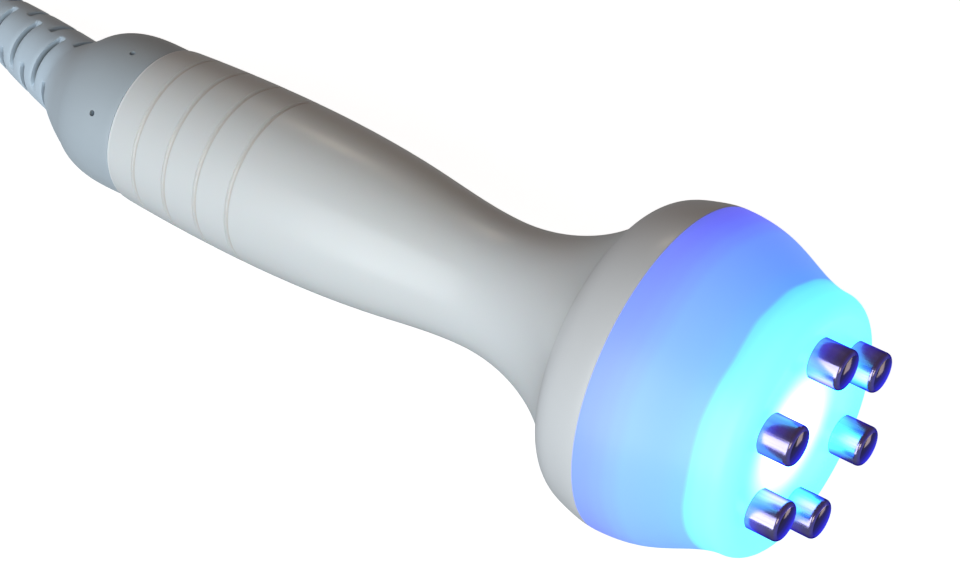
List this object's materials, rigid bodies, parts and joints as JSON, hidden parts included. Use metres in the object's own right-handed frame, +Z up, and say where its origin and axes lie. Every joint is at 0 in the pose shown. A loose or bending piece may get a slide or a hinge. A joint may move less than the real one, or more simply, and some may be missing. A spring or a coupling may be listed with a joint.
{
  "type": "radio-frequency skin treatment handpiece",
  "caption": "Corded beauty handpiece: a slim turned handle flares to a lit blue lens carrying a ring of round metal electrodes, with a bent, slotted strain relief behind.",
  "frame": {"origin": "centre of the circle of electrodes, in the plane of their tips", "axes": "+X along the handle's axis and out through the electrodes, +Y the side that the strain relief leans to, +Z up"},
  "size_m": [0.2358, 0.0662, 0.0662],
  "materials": {
    "handle_white": "smooth glossy moulded plastic",
    "boot_grey": "soft matte moulded rubber",
    "lens_blue": "satin translucent plastic, lit from inside",
    "electrode_metal": "mirror-polished steel",
    "screw_metal": "plain zinc-plated steel",
    "terminal_metal": "tinned and pressed brass",
    "seal_rubber": "silicone rubber",
    "spacer_plastic": "turned natural nylon",
    "board_green": "coated glass-fibre board",
    "led_body": "white resin body with a clear window",
    "part_black": "moulded black epoxy and sleeve",
    "connector_white": "moulded nylon",
    "film_yellow": "dipped film",
    "terminal_green": "moulded nylon",
    "carrier_grey": "moulded plastic",
    "lead_red": "soft wire insulation",
    "lead_black": "soft wire insulation"
  },
  "bodies": {
    "root": {"handle_shell": "handle_white", "head_cup": "handle_white", "head_gasket": "seal_rubber", "cup_screws": "screw_metal", "lens_cover": "lens_blue", "lens_seal": "seal_rubber", "electrode_seals": "seal_rubber", "electrode_spacers": "spacer_plastic", "electrode_washers": "screw_metal", "ring_terminals": "terminal_metal", "electrode_nuts": "screw_metal", "led_board": "board_green", "leds": "led_body", "led_resistors": "part_black", "led_header": "connector_white", "led_plug": "connector_white", "board_carrier": "carrier_grey", "junction_board": "board_green", "board_screws": "screw_metal", "lead_header": "connector_white", "lead_plug": "connector_white", "coupling_capacitors": "film_yellow", "smoothing_capacitor": "part_black", "driver_chip": "part_black", "cable_terminals": "terminal_green", "terminal_screws": "screw_metal", "tail_plug": "carrier_grey", "tail_seal": "seal_rubber", "cable_clamp": "carrier_grey", "clamp_screws": "screw_metal", "tail_boot": "boot_grey", "led_lead_1": "lead_black", "led_lead_2": "lead_red", "electrode_1": "electrode_metal", "electrode_lead_1": "lead_red", "electrode_2": "electrode_metal", "electrode_lead_2": "lead_red", "electrode_3": "electrode_metal", "electrode_lead_3": "lead_red", "electrode_4": "electrode_metal", "electrode_lead_4": "lead_red", "electrode_5": "electrode_metal", "electrode_lead_5": "lead_red", "electrode_6": "electrode_metal", "electrode_lead_6": "lead_red"}
  },
  "joints": []
}
